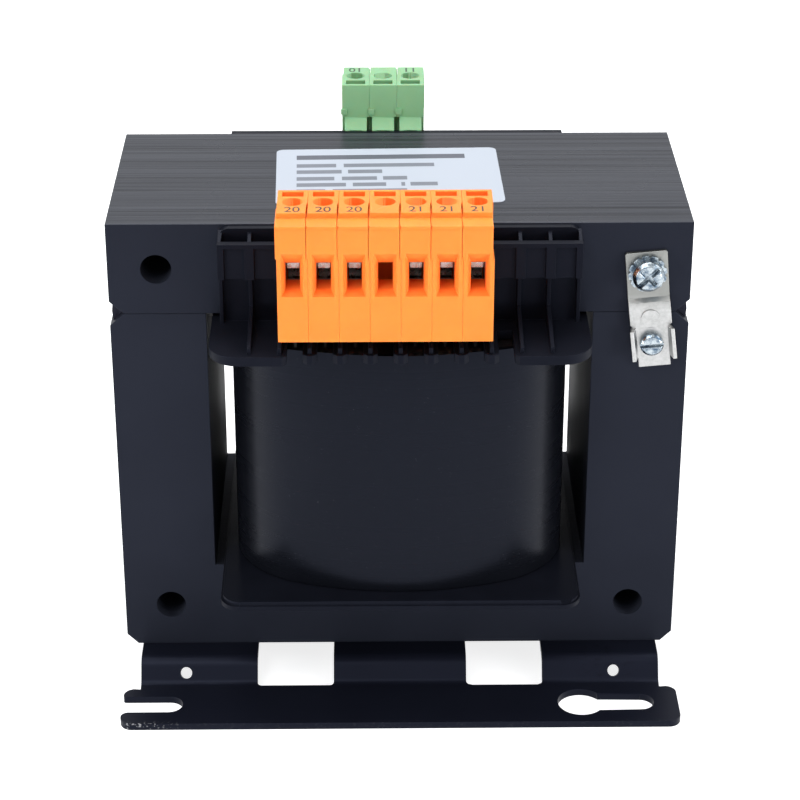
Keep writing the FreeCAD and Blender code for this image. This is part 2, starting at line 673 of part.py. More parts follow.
# Clip-on terminal housing; its own frame has the core face at Y zero and the rail top at Z zero
def terminal(label, bay, row):
    made = body(label)
    half = "(pitch - block_gap) / 2"
    step = "step_drop" if row == "front" else "back_step_drop"
    drawn = sketch(made, "YZ_Plane")
    outline(drawn, [
        ("-head_back", "head_rise"),
        ("-(rail_reach + clip_fit)", "head_rise"),
        ("-(rail_reach + clip_fit)", "-block_drop"),
        ("-block_reach", "-block_drop"),
        ("-block_reach", "block_rise - %s - lip_height" % step),
        ("-(block_reach + lip_proud)", "block_rise - %s - lip_height" % step),
        ("-(block_reach + lip_proud)", "block_rise - " + step),
        ("-step_reach", "block_rise - " + step),
        ("-step_reach", "block_rise"),
        ("-head_back", "block_rise"),
    ])
    pad(made, drawn, "pitch - block_gap", both=True)
    drawn = sketch(made, "YZ_Plane")
    outline(drawn, [
        ("-head_back", "head_rise + 0.5"),
        ("-head_back", "hook_neck"),
        ("-hook_back", "hook_shoulder"),
        ("-hook_back", "hook_chamfer - hook_drop"),
        ("-(hook_back + hook_chamfer)", "-hook_drop"),
        ("-(rail_back - clip_fit)", "-hook_drop"),
        ("-(rail_back - clip_fit)", "clip_fit"),
        ("-(rail_reach + clip_fit + 0.5)", "clip_fit"),
        ("-(rail_reach + clip_fit + 0.5)", "head_rise + 0.5"),
    ])
    pad(made, drawn, "hook_width", both=True)
    drawn = sketch(made, "YZ_Plane", "-(" + half + ")")
    rectangle(drawn, "-block_reach", "-rim_back", "rim_rise", "block_rise - " + step)
    pad(made, drawn, "rim_proud + block_gap", backwards=True)
    drawn = sketch(made, "YZ_Plane", half)
    rectangle(drawn, "-(block_reach + lip_proud)", "-(rim_back - rim_fit)",
              "rim_rise - rim_fit", "block_rise")
    pocket(made, drawn, "rim_proud + rim_fit")
    drawn = sketch(made, "XY_Plane", "lug_low")
    outline(drawn, [
        (half + " - lug_width", "-(head_back + lug_fit)"),
        (half + " - lug_width", "-(head_back - lug_proud)"),
        (half + " + lug_reach", "-(head_back - lug_proud)"),
        (half + " + lug_reach", "-(head_back - lug_fit)"),
        (half, "-(head_back - lug_fit)"),
        (half, "-(head_back + lug_fit)"),
    ])
    pad(made, drawn, "lug_high - lug_low")
    drawn = sketch(made, "XZ_Plane", "hook_back - 1")
    rectangle(drawn, "-hook_groove / 2", "hook_groove / 2", "-(hook_drop + 1)", "hook_shoulder")
    pocket(made, drawn, "hook_groove_depth + 1", backwards=True)

    drawn = sketch(made, "XY_Plane", "block_rise")
    facets(drawn, "driver_hole", 20, "0", "-driver_reach")
    pocket(made, drawn, "block_rise - driver_floor")
    drawn = sketch(made, "XY_Plane", "driver_floor + 1")
    facets(drawn, "ledge_hole", 12, "0", "-driver_reach")
    pocket(made, drawn, "ledge + 2")
    drawn = sketch(made, "XY_Plane", "block_rise")
    rectangle(drawn, "-latch_width / 2", "latch_width / 2", "-latch_front", "-latch_back")
    pocket(made, drawn, "latch_depth")
    drawn = sketch(made, "XY_Plane", "roof")
    rectangle(drawn, "-cavity_width / 2", "cavity_width / 2", "-cavity_front", "-cavity_back")
    pocket(made, drawn, "roof + block_drop + 1")
    drawn = sketch(made, "XZ_Plane", "throat_reach + 1")
    rectangle(drawn, "-throat_width / 2", "throat_width / 2", "-throat_drop", "throat_rise")
    pocket(made, drawn, "throat_reach - cavity_front + 2")

    # The wire funnel narrows on all four sides, each at its own slope
    doc.recompute()
    funnel = made.newObject("PartDesign::SubtractiveWedge", made.Name + "_funnel")
    for side, text in (
        ("Xmin", "-mouth_width / 2"), ("Xmax", "mouth_width / 2"),
        ("Zmin", "-mouth_drop"), ("Zmax", "mouth_rise"),
        ("X2min", "-throat_width / 2"), ("X2max", "throat_width / 2"),
        ("Z2min", "-throat_drop"), ("Z2max", "throat_rise"),
        ("Ymin", "-block_reach"), ("Ymax", "-throat_reach"),
    ):
        funnel.setExpression(side, bound(text))
    cut(made, funnel)
    seat(made, bay, row)
    return made


# The front row faces the front; the back row is the same part turned half round
def seat(made, bay, row):
    across = "(%s + 0.5 - bays / 2) * pitch" % bay
    if row == "front":
        place(made, across, "-face", "rail_top")
    else:
        place(made, across, "face", "rail_top - back_settle", 180)


front_bays = range(2, 9)
back_bays = range(4, 7)
spare_front = 5
spare_back = 5
for number, bay in enumerate(front_bays, 1):
    terminal("secondary_terminal_%d" % number, bay, "front")
for number, bay in enumerate(back_bays, 1):
    terminal("primary_terminal_%d" % number, bay, "back")


# Wire clamp: a sheet cage that its screw lifts against the contact bar
def clamp_cage(label, bay, row):
    made = body(label)
    drawn = sketch(made, "XZ_Plane", "driver_reach")
    rectangle(drawn, "-cage_width / 2", "cage_width / 2",
              "roof - cage_drop - cage_height", "roof - cage_drop")
    pad(made, drawn, "cage_depth", both=True)
    drawn = sketch(made, "XZ_Plane", "driver_reach")
    rectangle(drawn, "cage_wall - cage_width / 2", "cage_width / 2 - cage_wall",
              "roof - cage_drop - cage_height + cage_wall", "roof - cage_drop - cage_wall")
    pocket(made, drawn, both=True)
    drawn = sketch(made, "XY_Plane", "roof - cage_drop + 1")
    facets(drawn, "clamp_thread + thread_fit", 8, "0", "-driver_reach")
    pocket(made, drawn, "cage_wall + 2")
    seat(made, bay, row)


def contact_bar(label, bay, row):
    made = body(label)
    drawn = sketch(made, "YZ_Plane")
    outline(drawn, [
        ("-(cavity_front - bar_fit)", "bar_top - bar_depth"),
        ("-(cavity_front - bar_fit)", "bar_top"),
        ("-tail_back", "bar_top"),
        ("-tail_back", "-(rail_rise + tail_overlap)"),
        ("-(tail_back + bar_sheet)", "-(rail_rise + tail_overlap)"),
        ("-(tail_back + bar_sheet)", "bar_top - bar_depth"),
    ])
    pad(made, drawn, "bar_width", both=True)
    fillet(made, edges(made, "x", y="tail_back", z="bar_top"), "bar_sheet * 0.8")
    seat(made, bay, row)


def clamp_screw(bay, row):
    made = body("clamp_screw")
    pieces.remove(made)
    drawn = sketch(made, "XY_Plane", "driver_floor")
    facets(drawn, "clamp_head", 12, "0", "-driver_reach")
    pad(made, drawn, "clamp_head_height")
    drawn = sketch(made, "XY_Plane", "driver_floor")
    facets(drawn, "clamp_thread", 8, "0", "-driver_reach")
    pad(made, drawn, "driver_floor - bar_top - bar_fit", backwards=True)
    drawn = sketch(made, "XY_Plane", "driver_floor + clamp_head_height")
    rectangle(drawn, "-clamp_head / 2 - 1", "clamp_head / 2 + 1",
              "-driver_reach - clamp_slot / 2", "clamp_slot / 2 - driver_reach")
    pocket(made, drawn, "clamp_slot_depth")
    seat(made, bay, row)
    return made


# Lead wire from the coil up through the comb, on the outer side of the contact tail
def lead_wire(bay, row):
    made = body("lead_wire")
    pieces.remove(made)
    low = "coil_bottom + coil_height - rail_top" + (" + back_settle" if row == "back" else "")
    drawn = sketch(made, "XY_Plane", low)
    facets(drawn, "lead", 8, "0", "-(tail_back + bar_sheet + lead / 2 + lead_fit)")
    pad(made, drawn, "former_top + lead_rise - coil_bottom - coil_height")
    seat(made, bay, row)
    return made


def group(label, members):
    made = doc.addObject("Part::Compound", label)
    made.Label = label
    made.Links = members
    pieces.append(made)


for winding, row, bays_used, spare in (("secondary", "front", front_bays, spare_front),
                                       ("primary", "back", back_bays, spare_back)):
    screws = []
    leads = []
    for number, bay in enumerate(bays_used, 1):
        if bay == spare:
            continue
        clamp_cage("%s_clamp_cage_%d" % (winding, number), bay, row)
        contact_bar("%s_contact_bar_%d" % (winding, number), bay, row)
        screws.append(clamp_screw(bay, row))
        leads.append(lead_wire(bay, row))
    group(winding + "_clamp_screws", screws)
    group(winding + "_lead_wires", leads)


# Foot bracket: one pressing, used front and back
def foot_bracket(label, turn):
    made = body(label)
    drawn = sketch(made, "YZ_Plane")
    outline(drawn, [
        ("-(face - shelf_tuck)", "foot_height"),
        ("-(face - shelf_tuck)", "foot_height - bracket_sheet"),
        ("-(face + riser_start - bend_shift)", "foot_height - bracket_sheet"),
        ("-(face + riser_end - bend_shift)", "0"),
        ("-(face + foot_reach)", "0"),
        ("-(face + foot_reach)", "bracket_sheet"),
        ("-(face + riser_end + bend_shift)", "bracket_sheet"),
        ("-(face + riser_start + bend_shift)", "foot_height"),
    ])
    pad(made, drawn, "core_width", both=True)
    for reach, level in (("riser_start - bend_shift", "foot_height - bracket_sheet"),
                         ("riser_end + bend_shift", "bracket_sheet")):
        fillet(made, edges(made, "x", y="face + " + reach, z=level), "bend_inner")
    for reach, level in (("riser_start + bend_shift", "foot_height"),
                         ("riser_end - bend_shift", "0")):
        fillet(made, edges(made, "x", y="face + " + reach, z=level), "bend_inner + bracket_sheet")

    drawn = sketch(made, "XY_Plane", "-1")
    for side in ("-", ""):
        outline(drawn, [
            (side + "shelf_half", "-(face + foot_back)"),
            (side + "(half_width + 1)", "-(face + foot_back)"),
            (side + "(half_width + 1)", "0"),
            (side + "shelf_half", "0"),
        ])
    pocket(made, drawn, "foot_height + 2", backwards=True)
    fillet(made, edges(made, "z", x="half_width", y="face + foot_back"), "foot_round_back")
    fillet(made, edges(made, "z", x="half_width", y="face + foot_reach"), "foot_round_front")

    drawn = sketch(made, "XY_Plane", "-1")
    for side in ("-", ""):
        outline(drawn, [
            (side + "(cutout_centre - cutout_width / 2)", "-(face - cutout_tuck)"),
            (side + "(cutout_centre + cutout_width / 2)", "-(face - cutout_tuck)"),
            (side + "(cutout_centre + cutout_width / 2)", "-(face + riser_end + bend_run)"),
            (side + "(cutout_centre - cutout_width / 2)", "-(face + riser_end + bend_run)"),
        ])
    pocket(made, drawn, "foot_height + 2", backwards=True)
    lower_end = "face + riser_end + bend_run"
    corners = edges(made, "z", x="cutout_centre - cutout_width / 2", y=lower_end)
    corners += edges(made, "z", x="cutout_centre + cutout_width / 2", y=lower_end)
    fillet(made, corners, "cutout_round")

    drawn = sketch(made, "XY_Plane", "-1")
    disc(drawn, "slot_width", "-open_slot_centre", "-(face + slot_reach)")
    disc(drawn, "slot_width", "key_slot_centre", "-(face + slot_reach)")
    disc(drawn, "keyhole", "keyhole_centre", "-(face + slot_reach)")
    pocket(made, drawn, "bracket_sheet + 2", backwards=True)
    drawn = sketch(made, "XY_Plane", "-1")
    for start, end in (("-(half_width + 1)", "-open_slot_centre"),
                       ("keyhole_centre", "key_slot_centre")):
        rectangle(drawn, start, end, "-(face + slot_reach + slot_width / 2)",
                  "-(face + slot_reach - slot_width / 2)")
    pocket(made, drawn, "bracket_sheet + 2", backwards=True)
    fillet(made, edges(made, "z", x="half_width", y="face + slot_reach + slot_width / 2"),
           "prong_round")
    fillet(made, edges(made, "z", x="half_width", y="face + slot_reach - slot_width / 2"),
           "prong_tip")

    # The small holes are square to the sloping riser
    drawn = sketch(made, "XZ_Plane", "face + (riser_start + riser_end) / 2")
    drawn.AttachmentOffset = FreeCAD.Placement(
        FreeCAD.Vector(), FreeCAD.Rotation(FreeCAD.Vector(-1, 0, 0), 1))
    drawn.setExpression(".AttachmentOffset.Rotation.Angle", bound("riser_lean"))
    drawn.setExpression(".AttachmentOffset.Base.y", bound("foot_height / 2"))
    for side in ("-", ""):
        facets(drawn, "riser_hole", 16, side + "riser_hole_centre")
    pocket(made, drawn, "bracket_sheet * 2", both=True)
    place(made, turn=turn)


# Half the horizontal width of the sloping riser, and how far its lower bend runs out
name_sum("riser_slope", "atan((foot_height - bracket_sheet) / (riser_end - riser_start))")
name_sum("riser_lean", "atan((riser_end - riser_start) / (foot_height - bracket_sheet))")
name_sum("bend_shift", "bracket_sheet / 2 * tan(riser_slope / 2)")
name_sum("bend_run", "bend_shift + bend_inner * tan(riser_slope / 2)")
foot_bracket("front_foot_bracket", 0)
foot_bracket("rear_foot_bracket", 180)

# Welds between the shelf ends and the core
shelf_beads = body("bracket_weld_beads")
for end in ("-", ""):
    for side in ("-", ""):
        middle = side + "(face - shelf_tuck + bracket_bead_run / 2 + 1)"
        drawn = sketch(shelf_beads, "XZ_Plane", middle)
        outline(drawn, [
            (end + "shelf_half", "foot_height"),
            (end + "(shelf_half + bracket_bead)", "foot_height"),
            (end + "shelf_half", "foot_height - bracket_bead"),
        ])
        pad(shelf_beads, drawn, "bracket_bead_run", both=True)

# Rating label
label_plate = body("rating_label")
drawn = sketch(label_plate, "XY_Plane")
rounded(drawn, "-label_width / 2", "label_width / 2",
        "-label_depth / 2", "label_depth / 2", "label_round")
pad(label_plate, drawn, "label_sheet")
place(label_plate, "-label_left", "label_back", "core_top", value("label_turn"))


# Earth terminal; its own frame has the core face at Y zero and the screw axis at Z zero
def on_screw(made):
    made.Placement = FreeCAD.Placement(
        FreeCAD.Vector(), FreeCAD.Rotation(FreeCAD.Vector(0, 1, 0), 0))
    made.setExpression(".Placement.Base.x", bound("half_width - hole_inset + screw_aside"))
    made.setExpression(".Placement.Base.y", bound("-face"))
    made.setExpression(".Placement.Base.z", bound("core_top - hole_inset - screw_drop"))


def tilted(made):
    on_screw(made)
    made.Placement.Rotation = FreeCAD.Rotation(FreeCAD.Vector(0, -1, 0), value("tab_tilt"))
    made.setExpression(".Placement.Rotation.Angle", bound("tab_tilt"))


tab = body("earth_tab")
drawn = sketch(tab, "YZ_Plane")
outline(drawn, [
    ("0", "tab_above"),
    ("0", "-tab_flat"),
    ("-tab_joggle", "-(tab_flat + tab_joggle_run)"),
    ("-tab_joggle", "-tab_below"),
    ("-(tab_joggle + tab_sheet)", "-tab_below"),
    ("-(tab_joggle + tab_sheet)", "-(tab_flat + tab_joggle_run)"),
    ("-tab_sheet", "-tab_flat"),
    ("-tab_sheet", "tab_above"),
])
pad(tab, drawn, "tab_width", both=True)
fillet(tab, edges(tab, "y", x="tab_width / 2", z="tab_above"), "tab_round")
drawn = sketch(tab, "XZ_Plane", "tab_joggle + tab_sheet + 1")
for side in ("-", ""):
    outline(drawn, [
        (side + "plate_width / 2", "-(shoulder + tab_width / 2 - plate_width / 2)"),
        (side + "tab_width / 2", "-shoulder"),
        (side + "(tab_width / 2 + 1)", "-shoulder"),
        (side + "(tab_width / 2 + 1)", "-(tab_below + 1)"),
        (side + "plate_width / 2", "-(tab_below + 1)"),
    ])
facets(drawn, "earth_thread + thread_fit", 16)
pocket(tab, drawn, "tab_joggle + tab_sheet + 2")
for side in ("-", ""):
    drawn = sketch(tab, "XY_Plane", "-ear_top")
    outline(drawn, [
        (side + "(plate_width / 2 - 0.1)", "-tab_joggle"),
        (side + "(plate_width / 2 + tab_sheet)", "-tab_joggle"),
        (side + "(plate_width / 2 + tab_sheet)", "-(tab_joggle + tab_sheet + ear_reach)"),
        (side + "plate_width / 2", "-(tab_joggle + tab_sheet + ear_reach)"),
        (side + "plate_width / 2", "-(tab_joggle + tab_sheet)"),
        (side + "(plate_width / 2 - 0.1)", "-(tab_joggle + tab_sheet)"),
    ])
    pad(tab, drawn, "ear_height", backwards=True)
drawn = sketch(tab, "XZ_Plane", "tab_joggle + tab_sheet")
facets(drawn, "boss", 20, "0", "-boss_below")
pad(tab, drawn, "boss_proud")
drawn = sketch(tab, "XZ_Plane", "tab_joggle + tab_sheet + 1")
facets(drawn, "tab_screw_thread + thread_fit", 12, "0", "-tab_screw_below")
pocket(tab, drawn, "tab_sheet + 2")
tilted(tab)


def pan_screw(label, head, head_height, thread, length, reach, level):
    made = body(label)
    drawn = sketch(made, "XZ_Plane", reach)
    facets(drawn, head, 24, "0", level)
    pad(made, drawn, head_height)
    chamfer(made, rim_edges(made, reach + " + (" + head_height + ")"), head_height + " * 0.3")
    drawn = sketch(made, "XZ_Plane", reach)
    facets(drawn, thread, 12, "0", level)
    pad(made, drawn, length, backwards=True)
    return made


def rim_edges(made, reach):
    doc.recompute()
    return ["Edge%d" % number for number, edge in enumerate(made.Tip.Shape.Edges, 1)
            if edge.BoundBox.YLength < 0.01 and abs(edge.CenterOfMass.y + value(reach)) < 0.01]


def cross_recess(made, reach):
    drawn = sketch(made, "XZ_Plane", reach)
    drawn.AttachmentOffset = FreeCAD.Placement(
        FreeCAD.Vector(), FreeCAD.Rotation(FreeCAD.Vector(0, 0, 1), 45))
    outline(drawn, [
        ("cross_width / 2", "cross_width / 2"), ("cross_long / 2", "cross_width / 2"),
        ("cross_long / 2", "-cross_width / 2"), ("cross_width / 2", "-cross_width / 2"),
        ("cross_width / 2", "-cross_span / 2"), ("-cross_width / 2", "-cross_span / 2"),
        ("-cross_width / 2", "-cross_width / 2"), ("-cross_long / 2", "-cross_width / 2"),
        ("-cross_long / 2", "cross_width / 2"), ("-cross_width / 2", "cross_width / 2"),
        ("-cross_width / 2", "cross_span / 2"), ("cross_width / 2", "cross_span / 2"),
    ])
    pocket(made, drawn, "cross_depth")


name_sum("under_head", "tab_sheet + lock_sheet")
screw = pan_screw("earth_screw", "earth_head", "earth_head_height", "earth_thread",
                  "under_head + stack_depth + rear_sheet + nut_height + thread_end",
                  "under_head", "0")
cross_recess(screw, "under_head + earth_head_height")
on_screw(screw)
tab_screw = pan_screw("earth_clamp_screw", "tab_screw_head", "tab_screw_height",
                      "tab_screw_thread", "tab_screw_length", "tab_joggle + tab_sheet",
                      "-tab_screw_below")
drawn = sketch(tab_screw, "XZ_Plane", "tab_joggle + tab_sheet + tab_screw_height")
rectangle(drawn, "-tab_screw_head / 2 - 1", "tab_screw_head / 2 + 1",
          "-tab_screw_below - clamp_slot / 2", "clamp_slot / 2 - tab_screw_below")
pocket(tab_screw, drawn, "clamp_slot_depth")
tilted(tab_screw)


def washer(label, outer, thickness, reach):
    made = body(label)
    drawn = sketch(made, "XZ_Plane", reach)
    facets(drawn, outer, 24)
    facets(drawn, "earth_thread + washer_fit", 16)
    pad(made, drawn, thickness)
    on_screw(made)
    return made


washer("earth_lock_washer", "lock_washer", "lock_sheet", "tab_sheet")
washer("earth_rear_washer", "rear_washer", "rear_sheet", "-(stack_depth + rear_sheet)")

nut = body("earth_nut")
drawn = sketch(nut, "XZ_Plane", "-(stack_depth + rear_sheet + nut_height)")
outline(drawn, [
    ("nut_flats / 2 / cos(30) * cos(%d)" % angle, "nut_flats / 2 / cos(30) * sin(%d)" % angle)
    for angle in range(0, 360, 60)])
facets(drawn, "earth_thread + thread_fit", 12)
pad(nut, drawn, "nut_height")
on_screw(nut)

# Every object has to be sound before anything is written
doc.recompute()
for item in doc.Objects:
    if "Invalid" in item.State or "Error" in item.State:
        raise ValueError(item.Label + " is not sound")
for piece in pieces:
    if piece.Shape.isNull() or not piece.Shape.isValid():
        raise ValueError(piece.Label + " has no valid shape")
os.makedirs("parts", exist_ok=True)
for piece in pieces:
    piece.Shape.exportStep("parts/" + piece.Label + ".step")
print(len(pieces), "pieces written")
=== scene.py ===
import json
import math

import bmesh
import bpy
from mathutils import Matrix, Vector


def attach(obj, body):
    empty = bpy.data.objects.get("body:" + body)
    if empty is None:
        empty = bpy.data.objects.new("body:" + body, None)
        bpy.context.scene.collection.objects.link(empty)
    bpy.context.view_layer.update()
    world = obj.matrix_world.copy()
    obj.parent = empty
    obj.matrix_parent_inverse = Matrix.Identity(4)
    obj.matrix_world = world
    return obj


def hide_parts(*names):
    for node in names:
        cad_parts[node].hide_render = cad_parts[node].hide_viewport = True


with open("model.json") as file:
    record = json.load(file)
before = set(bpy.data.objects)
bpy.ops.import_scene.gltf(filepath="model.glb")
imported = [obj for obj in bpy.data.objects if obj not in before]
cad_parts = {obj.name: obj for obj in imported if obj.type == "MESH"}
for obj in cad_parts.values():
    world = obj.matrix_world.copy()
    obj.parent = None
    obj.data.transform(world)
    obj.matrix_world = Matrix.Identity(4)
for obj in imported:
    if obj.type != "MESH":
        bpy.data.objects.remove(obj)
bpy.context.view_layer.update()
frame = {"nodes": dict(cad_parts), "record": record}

NODES = frame["nodes"]
MM = 0.001
X, Y, Z = range(3)

# Core: faces, corner holes and the inner faces of the window
CORE_FACE = 32.5 * MM
CORE_TOP = 133 * MM
HOLE_ACROSS = 62.5 * MM
HOLE_RISE = 50 * MM
HOLES_MIDDLE = 70.5 * MM
HOLE_RADIUS = 4 * MM
LIMB_INSIDE = 50 * MM
YOKE_MIDDLE = 120 * MM
SKIN = 0.1 * MM

# Foot bracket: free edge and end of the foot, worn spot at the right riser hole
FOOT_EDGE = -63 * MM
FOOT_END = -69 * MM
WORN_SPOT = 57 * MM

# Coil and housings
COIL_TOP = 104.2 * MM
HOUSING_TOP = 144.9 * MM
PITCH = 7.62 * MM

# Earth tab: its screw, its turn, and how far below the screw its forms lie
EARTH_SCREW = Vector((63.5, -32.5, 119.5)) * MM
TAB_TURN = math.radians(5.2)
TAB_JOGGLE = 7.6 * MM
TAB_FRONT = 2.3 * MM
EARS_TOP, EARS_FOOT = 14 * MM, 24 * MM

# Camera at the photograph's angle; the image is 800 by 800
camera_data = bpy.data.cameras.new("camera")
camera_data.lens = 112.77
camera_data.sensor_width = 36
camera_data.clip_end = 10
camera = bpy.data.objects.new("camera", camera_data)
camera.location = (-0.00717, -0.62160, 0.37830)
camera.rotation_euler = (math.radians(63.36), math.radians(-0.03), math.radians(-0.69))
bpy.context.collection.objects.link(camera)
bpy.context.scene.camera = camera


# Shader maths is written as expressions on wrapped sockets
class Socket:
    def __init__(self, tree, socket):
        self.tree, self.socket = tree, socket

    def math(self, operation, other=0.0, swapped=False):
        first, second = (other, self) if swapped else (self, other)
        return self.tree.node("ShaderNodeMath", {"operation": operation}, {0: first, 1: second})

    def __add__(self, other):
        return self.math("ADD", other)

    def __sub__(self, other):
        return self.math("SUBTRACT", other)

    def __rsub__(self, other):
        return self.math("SUBTRACT", other, swapped=True)

    def __mul__(self, other):
        return self.math("MULTIPLY", other)

    def __gt__(self, other):
        return self.math("GREATER_THAN", other)

    def __lt__(self, other):
        return self.math("LESS_THAN", other)

    __radd__ = __add__
    __rmul__ = __mul__

    def within(self, low, high):
        return (self > low) * (self < high)

    def part(self, axis):
        return self.tree.node("ShaderNodeSeparateXYZ", inputs={0: self}, output=axis)

    def size(self, axis):
        return self.part(axis).math("ABSOLUTE")

    def stretched(self, x, y, z):
        return self.tree.node("ShaderNodeMapping", inputs={"Vector": self, "Scale": (x, y, z)})

    def turned(self, angle):
        return self.tree.node("ShaderNodeMapping",
                              inputs={"Vector": self, "Rotation": (0, 0, angle)})

    def noise(self, scale, detail=3.0, roughness=0.55):
        return self.tree.node("ShaderNodeTexNoise", inputs={
            "Vector": self, "Scale": scale, "Detail": detail, "Roughness": roughness})

    def band(self, low, high, start=0.0, end=1.0):
        return self.tree.node("ShaderNodeMapRange", inputs={
            "Value": self, "From Min": low, "From Max": high, "To Min": start, "To Max": end})

    # The middle part of a noise's range, where nearly all of its values lie
    def spread(self, start=0.0, end=1.0):
        return self.band(0.3, 0.7, start, end)

    # Inputs 6 and 7 of a Mix node hold its two colours, and output 2 gives their mix
    def mix(self, dark, light):
        return self.tree.node("ShaderNodeMix", {"data_type": "RGBA"},
                              {0: self, 6: dark, 7: light}, output=2)

    def bump(self, strength, distance):
        return self.tree.node("ShaderNodeBump", inputs={
            "Strength": strength, "Distance": distance, "Height": self})


# Node tree of a material or world, with its one shader
class Tree:
    def __init__(self, owner, shader="Principled BSDF"):
        owner.use_nodes = True
        self.owner = owner
        self.nodes = owner.node_tree.nodes
        self.links = owner.node_tree.links
        self.shader = self.nodes[shader]

    def node(self, kind, settings=None, inputs=None, output=0):
        made = self.nodes.new(kind)
        for key, setting in (settings or {}).items():
            setattr(made, key, setting)
        for key, given in (inputs or {}).items():
            self.feed(made.inputs[key], given)
        return Socket(self, made.outputs[output])

    def feed(self, socket, given):
        if isinstance(given, Socket):
            self.links.new(given.socket, socket)
        elif isinstance(given, tuple) and socket.type == "RGBA":
            socket.default_value = (*given, 1)
        else:
            socket.default_value = given

    # Feeds the shader and gives back the material or world
    def set(self, inputs):
        for key, given in inputs.items():
            self.feed(self.shader.inputs[key], given)
        return self.owner

    def place(self):
        return self.node("ShaderNodeTexCoord", output="Object")

    # White where the camera, a reflection or a view through a gap sees the backdrop
    def seen(self):
        camera_ray, glossy_ray, passing_ray = (
            self.node("ShaderNodeLightPath", output=ray)
            for ray in ("Is Camera Ray", "Is Glossy Ray", "Is Transmission Ray"))
        return camera_ray.math("MAXIMUM", glossy_ray).math("MAXIMUM", passing_ray)


# Tint of the highlights on black surfaces, and the neutral one of the others
COOL = (0.62, 0.70, 1.0)
NEUTRAL = (1, 1, 1)


# A darker and a lighter shade of a colour
def shades(colour, step):
    return (tuple(part * (1 - step) for part in colour),
            tuple(part * (1 + step) for part in colour))


# The tree of a new material, and the place of each point on the piece
def started(name):
    tree = Tree(bpy.data.materials.new(name))
    return tree, tree.place()


# Sheet edges: streaks follow the sheets, the top is painted lighter as a painted sheen, bores are
# duller, and the window's inner faces are duller and darkened with painted shade
def sheet_edges(place, colour, tone, roughness, height):
    long_lines = place.stretched(11, 1500, 11).noise(1.0, 2.0, 0.5).band(0.34, 0.60)
    short_lines = place.stretched(34, 2900, 34).noise(1.0, 2.0, 0.6).band(0.36, 0.58)
    scratches = place.stretched(5, 1250, 5).noise(1.0, 1.0).band(0.38, 0.47)
    sheets = place.stretched(4, 330, 4).noise(1.0, 1.0).band(0.40, 0.60)
    lines = long_lines * 0.20 + short_lines * 0.20 + scratches * 0.40 + sheets * 0.20

    top = place.part(Z) > CORE_TOP - 1.5 * SKIN
    across = place.size(X) - HOLE_ACROSS
    upright = (place.part(Z) - HOLES_MIDDLE).math("ABSOLUTE") - HOLE_RISE
    bore = (across * across + upright * upright).math("SQRT") < HOLE_RADIUS + SKIN
    window = ((place.size(Y) < CORE_FACE - 3 * SKIN) * (place.size(X) < LIMB_INSIDE + 3 * SKIN)
              * (place.part(Z) < YOKE_MIDDLE))

    bright_edges = tuple(part * 1.7 for part in colour)
    # Painted sheen: the top face gets a lighter grey than the sides
    painted_top_sheen = lines.mix((0.009, 0.010, 0.013), (0.045, 0.048, 0.057))
    tone = top.mix(lines.mix(tone, bright_edges), painted_top_sheen)
    # Painted shade: the inner faces of the window are darkened
    tone = (window * 0.35).mix(tone, (0.002, 0.002, 0.003))
    roughness = roughness - top * 0.12 + bore * 0.5 + window * 0.20
    return tone, roughness, height + lines


# Worn paint: chips along the foot's free edge and dark scuffs at the right riser hole
def worn_paint(place, colour, tone, roughness, height):
    chips = place.noise(1500, 2.0).band(0.60, 0.64)
    free_edge = place.part(Y).band(FOOT_EDGE + 1.5 * MM, FOOT_EDGE)
    left_end = place.part(X).band(FOOT_END + 11 * MM, FOOT_END)
    tone = (chips * free_edge * (left_end * 0.75 + 0.03)).mix(tone, (0.30, 0.30, 0.31))

    scuffs = place.stretched(500, 500, 1500).noise(1.0).band(0.56, 0.66)
    spot = (place.part(X) - WORN_SPOT).math("ABSOLUTE").band(4 * MM, 9 * MM, 1.0, 0.0)
    riser = place.part(Z).band(2 * MM, 4 * MM)
    tone = (scuffs * spot * riser * 0.6).mix(tone, (0.002, 0.002, 0.003))
    return tone, roughness, height


# Black varnish with faint clouds; the surface below it is added by a function of its own
def varnish(name, colour, gloss, rough, surface):
    tree, place = started(name)
    cloud = place.stretched(1, 1, 0.5).noise(26)
    tone, roughness, height = surface(
        place, colour, cloud.spread().mix(*shades(colour, 0.10)),
        cloud.band(0.25, 0.75, rough - 0.04, rough + 0.05), place.noise(2200, 2.0) * 0.10)
    return tree.set({"Base Color": tone, "Roughness": roughness, "Specular IOR Level": gloss,
                     "Specular Tint": COOL, "Normal": height.bump(0.45, 0.10 * MM)})


# Moulded plastic: faint flow clouds and a spark-eroded skin; a clear one lets light through
def moulding(name, colour, rough, gloss, uneven, tint=NEUTRAL, clear=0.0):
    tree, place = started(name)
    cloud = place.noise(130)
    skin = place.noise(5200, 2.0) * 0.6 + place.stretched(2300, 2300, 60).noise(1.0, 2.0) * 0.4
    return tree.set({"Base Color": cloud.spread().mix(*shades(colour, uneven)),
                     "Roughness": cloud.spread(rough - 0.04, rough + 0.05),
                     "Specular IOR Level": gloss, "Specular Tint": tint,
                     "Subsurface Weight": clear, "Subsurface Scale": 1.2 * MM,
                     "Normal": skin.bump(0.16, 0.05 * MM)})


# Film wound over the coil: satin, with faint turns, soft upright ripples and a little dust
def film(name, colour):
    tree, place = started(name)
    turns = place.stretched(3, 3, 260).noise(1.0)
    ripples = place.stretched(70, 70, 9).noise(1.0)
    dust = place.noise(2400, 1.0).band(0.76, 0.78)
    tone = ripples.spread().mix(*shades(colour, 0.10))
    return tree.set({"Base Color": (dust * 0.3).mix(tone, (0.10, 0.10, 0.12)),
                     "Roughness": turns.spread(0.25, 0.31),
                     "Specular IOR Level": 0.14, "Specular Tint": COOL,
                     "Normal": (ripples * 0.95 + turns * 0.05).bump(0.12, 0.6 * MM)})
